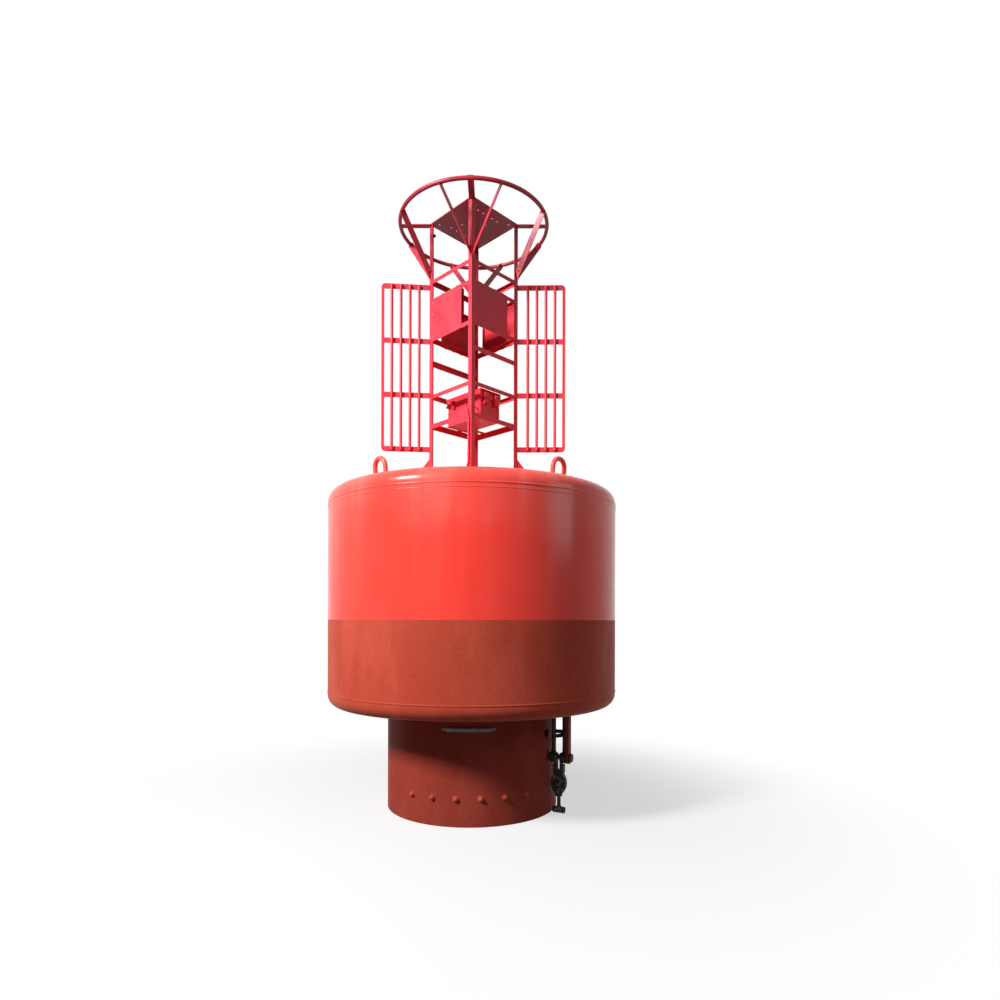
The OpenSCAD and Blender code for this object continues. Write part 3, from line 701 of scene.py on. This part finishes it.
tack_span = PANEL_TOP - PANEL_LOW - 2 * TACK_MARGIN - TACK
up = Vector((0, 0, 1))
mast_lines = []
for side in range(4):
    joints = []
    for name in FRAMES:
        low, high = (corner.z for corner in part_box(name))
        for end in (-1, 1):
            flange = end * FLANGE_END
            joints.append(upright(flange, -FRAME_FACE, low + BAR_MARGIN, high - BAR_MARGIN))
            joints.append(crosswise(end * (MAST_HALF - CORNER_MARGIN), flange, -FRAME_FACE, high))
    for step in range(TACKS):
        low = PANEL_LOW + TACK_MARGIN + step * tack_span / (TACKS - 1)
        joints.append(upright(-FLANGE_END, -MAST_HALF + TACK_DEPTH, low, low + TACK))
        along = -FLANGE_END + TACK + step * TACK_STEP
        for edge in (PANEL_TOP, PANEL_LOW):
            joints.append(crosswise(along, along + TACK, -MAST_HALF + EDGE_TACK_DEPTH, edge))
    for end in (-1, 1):
        joints.append(crosswise(end * MAST_HALF, end * FLANGE_END, -MAST_HALF, DECK))
        for z in (DECK, LEG_TOP):
            joints.append(crosswise(end * FRAME_FACE, end * FLANGE_END, -FRAME_FACE, z))
    heel = Vector((-MAST_HALF, -MAST_HALF, DECK))
    out = Vector((-1, -1, 0)).normalized()
    across = Vector((1, -1, 0)).normalized() * LEG_T / 2
    for face in (across, -across):
        joints.append((heel + face, heel + face + out * GUSSET_REACH))
        joints.append((heel + face + up * GUSSET_BEAD_LOW, heel + face + up * GUSSET_BEAD_TOP))
    turn = Matrix.Rotation(math.radians(45 + 90 * side), 4, "Z")
    mast_lines += placed(turn, joints, MAST_BEAD)
low, high = (corner.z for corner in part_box("braces_d"))
for side in (0, 2):
    turn = Matrix.Rotation(math.radians(45 + 90 * side), 4, "Z")
    joints = [upright(end * FLANGE_END, -FRAME_FACE, low, high) for end in (-1, 1)]
    mast_lines += placed(turn, joints, MAST_BEAD)
weld(mast_lines, "mast_welds", mast_paint)


# The guard ring is a bent tube under four flat spokes, with two sloping stays from each leg. Beads
# close the joints on both faces of every bar.
RING_TUBE = 0.032
STAY_W = 0.050
FLAT_T = 0.006
STAY_AZ = math.radians(22.5)
STAY_FOOT = 0.060
STAY_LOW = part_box("frame_a")[1].z + STAY_FOOT
RING_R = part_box("guard_ring")[1].x - RING_TUBE / 2
SPOKE_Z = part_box("guard_ring")[1].z - FLAT_T / 2
RING_Z = SPOKE_Z - RING_TUBE / 2
SPOKE_TIP = RING_R + FLAT_T
TUBE_INSIDE = RING_R - 0.014
TUBE_UNDER = 0.6 * RING_TUBE
FOOT_RISE = 0.022
FOOT_SHARE = 0.7
RING_BEAD = 0.009
half = STAY_W / 2
above = SPOKE_Z + FLAT_T / 2
below = SPOKE_Z - FLAT_T / 2
sunk = SPOKE_Z - FLAT_T
ring_lines = []
for quarter in range(4):
    joints = [((SPOKE_TIP, -half, below), (SPOKE_TIP, half, below)),
              ((TUBE_INSIDE, -half, sunk), (TUBE_INSIDE, half, sunk))]
    for side in (-1, 1):
        joints.append(((PLATE_CORNER, 0, above), (PLATE_CORNER - half, side * half, above)))
        top = Vector((RING_R * math.cos(STAY_AZ), side * RING_R * math.sin(STAY_AZ), RING_Z))
        low = Vector((PLATE_CORNER - LEG_T, side * STAY_W / 3, STAY_LOW))
        run = top - low
        tilt = math.acos(run.z / run.length)
        heading = math.atan2(run.y, run.x)
        twist = -math.atan(math.cos(tilt) * math.tan(heading - side * STAY_AZ))
        lean = Matrix.Rotation(heading, 3, "Z") @ Matrix.Rotation(tilt, 3, "Y")
        bar = lean @ Matrix.Rotation(twist, 3, "Z")
        width = bar @ Vector((half, 0, 0))
        thick = bar @ Vector((0, FLAT_T / 2, 0))
        close = top - run.normalized() * TUBE_UNDER
        foot = low + run.normalized() * FOOT_RISE
        for face in (thick, -thick):
            joints.append((close - width + face, close + width + face))
            joints.append((foot - width * FOOT_SHARE + face, foot + width * FOOT_SHARE + face))
    ring_lines += placed(Matrix.Rotation(math.radians(90 * quarter), 4, "Z"), joints, RING_BEAD)
weld(ring_lines, "ring_welds", mast_paint)


# The two radar grilles are hoops of flat bar with upright rods. Every rod is welded to every flat on
# both of its sides, and every flat to its leg. They hang at slightly different angles.
ROD_FIRST = 0.087
ROD_D = 0.024
ROD_COUNT = 4
ROD_SIDE = 0.009
GRILLE_W = 0.407
FLAT_H = 0.044
BAYS = 3
GRILLE_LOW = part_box("grille_right")[0].z
GRILLE_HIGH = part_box("grille_right")[1].z
RIGHT_TURN = -1
LEFT_TURN = -5
FLAT_MARGIN = 0.004
LEG_GAP = 0.003
ROD_BEAD = 0.006
FLAT_BEAD = 0.009
rod_face = -FLAT_T - 0.001
pitch = (GRILLE_W - ROD_D / 2 - ROD_FIRST) / ROD_COUNT
bay = (GRILLE_HIGH - GRILLE_LOW - FLAT_H) / BAYS
grille_lines = []
for mirror, degrees in ((1, RIGHT_TURN), (-1, LEFT_TURN)):
    turn = Matrix.Rotation(math.radians(degrees), 4, "Z")
    hang = Matrix.Translation((PLATE_CORNER, 0, 0)) @ turn
    place = Matrix.Diagonal((mirror, 1, 1, 1)) @ hang
    for level in range(BAYS + 1):
        low = GRILLE_LOW + level * bay + FLAT_MARGIN
        high = low + FLAT_H - 2 * FLAT_MARGIN
        rods = [ROD_FIRST + rod * pitch for rod in range(ROD_COUNT)]
        joints = [upright(middle + edge, rod_face, low, high)
                  for middle in rods for edge in (-ROD_SIDE, ROD_SIDE)]
        grille_lines += placed(place, joints, ROD_BEAD)
        joints = [upright(LEG_GAP, face, low, high) for face in (-FLAT_T, 0)]
        grille_lines += placed(place, joints, FLAT_BEAD)
weld(grille_lines, "grille_welds", mast_paint)


# A thin steel conduit, painted with the mast, carries the cable from the battery box to the hull. It
# comes out beside the near leg, runs down its left face in three saddles, swings out above the deck
# and ends in a gland.
CONDUIT_D = 0.017
CONDUIT_STEPS = ((-0.0333, -0.3600, DECK), (-0.0333, -0.3600, 2.755), (-0.0318, -0.3612, 2.785),
                 (-0.0240, -0.3668, 2.815), (-0.0225, -0.3685, 2.850), (-0.0225, -0.3685, 3.170),
                 (-0.0300, -0.3680, 3.205), (-0.0430, -0.3640, 3.240), (-0.0460, -0.3550, 3.268),
                 (-0.0410, -0.3300, 3.290), (-0.0250, -0.2950, 3.300), (0.0400, -0.1910, 3.300))
GLAND_NUT_R = 0.0145
GLAND_NUT_H = 0.016
GLAND_NECK_R = 0.0125
GLAND_NECK_H = 0.034
GLAND_FLANGE_R = 0.020
GLAND_FLANGE_T = 0.004
GLAND_RISE = 0.002
SADDLE_T = 0.003
SADDLE_W = 0.016
SADDLE_HEIGHTS = (2.87, 3.00, 3.13)
bpy.ops.object.select_all(action="DESELECT")
bpy.ops.mesh.primitive_circle_add(vertices=14, radius=CONDUIT_D / 2, fill_type="NGON",
                                  location=CONDUIT_STEPS[0])
conduit = bpy.context.object
bpy.ops.object.transform_apply(location=True)
bpy.ops.object.mode_set(mode="EDIT")
for start, end in zip(CONDUIT_STEPS, CONDUIT_STEPS[1:]):
    move = Vector(end) - Vector(start)
    bpy.ops.mesh.extrude_region_move(TRANSFORM_OT_translate={"value": move})
bpy.ops.mesh.select_all(action="SELECT")
bpy.ops.mesh.normals_make_consistent(inside=False)
bpy.ops.object.mode_set(mode="OBJECT")
gland = joined([disc(GLAND_NUT_R, GLAND_NUT_H, 0, sides=6, edge=0.0015, rings=1),
                disc(GLAND_NECK_R, GLAND_NECK_H, GLAND_NUT_H, edge=0.004, rings=2),
                disc(GLAND_FLANGE_R, GLAND_FLANGE_T, 0, sides=24, edge=0.001, rings=1)])
foot_x, foot_y, foot_z = CONDUIT_STEPS[0]
gland = copies(gland, [Matrix.Translation((foot_x, foot_y, foot_z + GLAND_RISE))])
saddle = disc(CONDUIT_D / 2 + SADDLE_T, SADDLE_W, 0, edge=0.001, rings=1)
leg_x, leg_y = CONDUIT_STEPS[4][:2]
saddles = copies(saddle, [Matrix.Translation((leg_x, leg_y, z)) for z in SADDLE_HEIGHTS])
finish_piece(joined([conduit, gland, saddles]), "conduit", mast_paint, "root")


# Doubler plates under the four legs spread their load on the deck, and are painted with it. A round
# rubber buffer sits inside the left leg, near the top plate.
DOUBLER = 0.105
DOUBLER_T = 0.004
DOUBLER_OUT = 0.01
DOUBLER_EDGE = 0.001
under_leg = (0, -PLATE_CORNER - DOUBLER_OUT, DECK + DOUBLER_T / 2)
bpy.ops.object.select_all(action="DESELECT")
bpy.ops.mesh.primitive_cube_add(size=1, location=under_leg)
plate = bpy.context.object
bpy.ops.object.transform_apply(location=True)
bpy.ops.object.mode_set(mode="EDIT")
bpy.ops.mesh.select_all(action="SELECT")
bpy.ops.transform.resize(value=(DOUBLER, DOUBLER, DOUBLER_T), center_override=under_leg)
bpy.ops.mesh.bevel(offset=DOUBLER_EDGE, segments=1, affect="EDGES")
bpy.ops.object.mode_set(mode="OBJECT")
doublers = copies(plate, [Matrix.Rotation(math.radians(90 * leg), 4, "Z") for leg in range(4)])
finish_piece(doublers, "leg_doublers", hull_enamel, "root")

BUFFER_Z = 4.84
BUFFER_D = 0.026
BUFFER_LENGTH = 0.042
SCREW_R = 0.006
SCREW_H = 0.004
buffer = joined([disc(BUFFER_D / 2, BUFFER_LENGTH, 0, sides=24, edge=0.004, rings=3),
                 disc(SCREW_R, SCREW_H, BUFFER_LENGTH, sides=12, edge=0.001, rings=1)])
in_leg = Matrix.Translation((-PLATE_CORNER + LEG_T * math.sqrt(2), 0, BUFFER_Z))
buffer = copies(buffer, [in_leg @ Matrix.Rotation(math.radians(90), 4, "Y")])
finish_piece(buffer, "leg_buffer", rubber, "root")


# The battery box of folded sheet: riveted angle straps at its corners, a bolt through each end clamp,
# and a ring on each hasp. It stands on its tray with its long side to the front left.
BOX_L = 0.404
BOX_W = 0.214
BOX_TURN = Matrix.Rotation(math.radians(-45), 4, "Z")
BOX_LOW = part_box("battery_box")[0].z
LID_SEAT = 3.404
STRAP_W = 0.024
STRAP_T = 0.003
STRAP_H = 0.110
STRAP_RISE = 0.01
STRAP_PROUD = 0.001
RIVET_R = 0.005
RIVET_H = 0.003
RIVET_DOME = 0.0018
RIVET_OUT = 0.001
RIVET_HEIGHTS = (-0.04, 0, 0.04)
bpy.ops.object.select_all(action="DESELECT")
bpy.ops.mesh.primitive_plane_add(size=1, location=(-STRAP_W / 2, 0, 0))
strap = bpy.context.object
bpy.ops.object.transform_apply(location=True)
bpy.ops.object.mode_set(mode="EDIT")
bpy.ops.mesh.select_all(action="SELECT")
bpy.ops.transform.resize(value=(STRAP_W, STRAP_H, 1), center_override=(-STRAP_W / 2, 0, 0))
bpy.ops.transform.rotate(value=math.radians(90), orient_axis="X", center_override=(0, 0, 0))
bpy.ops.mesh.select_mode(type="EDGE")
bpy.ops.mesh.select_all(action="DESELECT")
bpy.ops.object.mode_set(mode="OBJECT")
for edge in strap.data.edges:
    ends = [strap.data.vertices[v].co for v in edge.vertices]
    edge.select = all(abs(end.x) < SAME_POINT for end in ends)
bpy.ops.object.mode_set(mode="EDIT")
bpy.ops.mesh.extrude_region_move(TRANSFORM_OT_translate={"value": (0, STRAP_W, 0)})
bpy.ops.object.mode_set(mode="OBJECT")
wall = strap.modifiers.new("wall", "SOLIDIFY")
wall.thickness = STRAP_T
wall.offset = 0
bpy.ops.object.modifier_apply(modifier="wall")
rivet = disc(RIVET_R, RIVET_H, 0, sides=12, edge=RIVET_DOME, rings=2)
rivet_places = []
for z in RIVET_HEIGHTS:
    front = Matrix.Translation((-STRAP_W / 2, -RIVET_OUT, z))
    rivet_places.append(front @ Matrix.Rotation(math.radians(90), 4, "X"))
    flank = Matrix.Translation((RIVET_OUT, STRAP_W / 2, z))
    rivet_places.append(flank @ Matrix.Rotation(math.radians(90), 4, "Y"))
corner = joined([strap, copies(rivet, rivet_places)])
corner_places = []
for x, y, degrees in ((1, -1, 0), (1, 1, 90), (-1, 1, 180), (-1, -1, 270)):
    spot = Vector((x * (BOX_L / 2 + STRAP_PROUD), y * (BOX_W / 2 + STRAP_PROUD),
                   BOX_LOW + STRAP_H / 2 + STRAP_RISE))
    turn = Matrix.Rotation(math.radians(degrees), 4, "Z")
    corner_places.append(BOX_TURN @ Matrix.Translation(spot) @ turn)
finish_piece(copies(corner, corner_places), "box_corners", mast_paint, "root")

CLAMP_OUT = 0.033
CLAMP_SIDE = 0.058
CLAMP_DROP = 0.02
CLAMP_HEAD_R = 0.0105
CLAMP_HEAD_H = 0.008
CLAMP_HEAD_EDGE = 0.001
CLAMP_WASHER_R = 0.014
CLAMP_WASHER_T = 0.002
clamp_bolt = hexagon_head(CLAMP_HEAD_R, CLAMP_HEAD_H, CLAMP_HEAD_EDGE,
                          CLAMP_WASHER_R, CLAMP_WASHER_T)
clamp_places = []
for end in (-1, 1):
    turn = Matrix.Rotation(math.radians(end * 90), 4, "Y")
    for side in (-1, 1):
        spot = Vector((end * (BOX_L / 2 + CLAMP_OUT), side * CLAMP_SIDE, LID_SEAT - CLAMP_DROP))
        clamp_places.append(BOX_TURN @ Matrix.Translation(spot) @ turn)
finish_piece(copies(clamp_bolt, clamp_places), "clamp_bolts", mast_paint, "root")

HASP_SHARE = 0.3
HASP_OUT = 0.022
HASP_DROP = 0.028
HASP_RING_R = 0.016
HASP_WIRE_R = 0.003
HASP_RING_TILT = math.radians(80)
HASP_RING_OVAL = (0.8, 1, 1.15)
bpy.ops.object.select_all(action="DESELECT")
bpy.ops.mesh.primitive_torus_add(major_radius=HASP_RING_R, major_segments=28,
                                 minor_radius=HASP_WIRE_R, minor_segments=8,
                                 rotation=(HASP_RING_TILT, 0, 0))
hasp_ring = bpy.context.object
bpy.ops.object.transform_apply(rotation=True)
bpy.ops.object.mode_set(mode="EDIT")
bpy.ops.transform.resize(value=HASP_RING_OVAL, center_override=(0, 0, 0))
bpy.ops.object.mode_set(mode="OBJECT")
ring_places = []
for side in (-1, 1):
    spot = Vector((side * BOX_L * HASP_SHARE, -BOX_W / 2 - HASP_OUT, LID_SEAT - HASP_DROP))
    ring_places.append(BOX_TURN @ Matrix.Translation(spot))
finish_piece(copies(hasp_ring, ring_places), "hasp_rings", mast_paint, "lid")


# The forgings of the mooring tackle are rounded copies of their CAD bars. The fixed ones are black
# coated, with a little rust. On the swivel the coating has gone from the high spots, which are bare.
IRON = (0.010, 0.008, 0.008)
RUST = (0.065, 0.026, 0.018)
BARE = (0.17, 0.155, 0.145)
FORGED_LUMPS = 0.0016
FORGED_PITS = 0.0005


def forged_iron(name, wear):
    """Coated forging with rust, and with its edges worn to bare metal where wear is above 0."""
    made = bpy.data.materials.new(name)
    net = empty_tree(made)
    where = net.node("ShaderNodeTexCoord", output=3)
    cloud = noise(net, where, 22.0, 5.0)
    grain = noise(net, where, 150.0, 4.0)
    raised = net.node("ShaderNodeNewGeometry", output=7)
    worn = between(net, raised * 0.5 + cloud * 0.5, 0.50, 0.60, 0.0, wear)
    tone = mixed(net, between(net, cloud, 0.5, 0.72) * 0.5, IRON, RUST)
    tone = mixed(net, worn, tone, BARE)
    gloss = 0.50 - worn * 0.15 + between(net, cloud, 0.4, 0.7) * 0.2
    relief = cloud * FORGED_LUMPS + grain * FORGED_PITS
    coat(net, tone, gloss, relief, specular=0.2, metallic=worn * 0.7)
    return made


black_iron = forged_iron("forged_iron", wear=0.15)
worn_iron = forged_iron("worn_iron", wear=0.9)
dress(["mooring_pin"], black_iron)
FORGED_VOXEL = 0.0024
FORGED_ROUNDS = 9
FORGED_ROOM = 0.0014
FORGED = {"hull_eye": "root", "mooring_shackle": "root",
          "swivel_bow": "swivel", "swivel_stem": "swivel_foot"}
for node, body in FORGED.items():
    piece = bpy.data.objects.new(node + "_forged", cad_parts[node].data.copy())
    bpy.context.scene.collection.objects.link(piece)
    bpy.ops.object.select_all(action="DESELECT")
    piece.select_set(True)
    bpy.context.view_layer.objects.active = piece
    bpy.ops.object.mode_set(mode="EDIT")
    bpy.ops.mesh.select_all(action="SELECT")
    bpy.ops.mesh.remove_doubles(threshold=SAME_POINT)
    bpy.ops.object.mode_set(mode="OBJECT")
    grain = piece.modifiers.new("grain", "REMESH")
    grain.voxel_size = FORGED_VOXEL
    bpy.ops.object.modifier_apply(modifier="grain")
    soft = piece.modifiers.new("soft", "SMOOTH")
    soft.factor = 0.5
    soft.iterations = FORGED_ROUNDS
    bpy.ops.object.modifier_apply(modifier="soft")
    room = piece.modifiers.new("room", "DISPLACE")
    room.strength = -FORGED_ROOM
    room.mid_level = 0
    bpy.ops.object.modifier_apply(modifier="room")
    finish = black_iron if body == "root" else worn_iron
    finish_piece(piece, node + "_forged", finish, body)
    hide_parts(node)


# The swivel's bow is forged with a web across its opening. The web's lower end is cut level, clear
# above the head of the stem.
WEB_W = 0.072
WEB_H = 0.150
WEB_T = 0.020
WEB_EDGE = 0.004
WEB_Z = 0.253
WEB_LOW = 0.2145
stem_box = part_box("swivel_stem")
axis = (stem_box[0] + stem_box[1]) / 2
turn = Matrix.Rotation(math.atan2(axis.y, axis.x), 4, "Z")
tackle = Matrix.Translation((axis.x, axis.y, 0)) @ turn
web = disc(WEB_W / 2, WEB_T, -WEB_T / 2, sides=48, edge=WEB_EDGE, rings=2)
stand = Matrix.Diagonal((1, 1, WEB_H / WEB_W, 1)) @ Matrix.Rotation(math.radians(90), 4, "X")
web = copies(web, [Matrix.Translation((0, 0, WEB_Z)) @ stand])
for group in (web.data.vertices, web.data.edges, web.data.polygons):
    for element in group:
        element.select = False
for vertex in web.data.vertices:
    vertex.select = vertex.co.z < WEB_LOW
bpy.ops.object.mode_set(mode="EDIT")
bpy.ops.mesh.select_mode(type="VERT")
bpy.ops.transform.resize(value=(1, 1, 0), center_override=(0, 0, WEB_LOW))
bpy.ops.mesh.select_all(action="SELECT")
bpy.ops.mesh.remove_doubles(threshold=2 * SAME_POINT)
bpy.ops.object.mode_set(mode="OBJECT")
finish_piece(copies(web, [tackle]), "bow_web", worn_iron, "swivel")
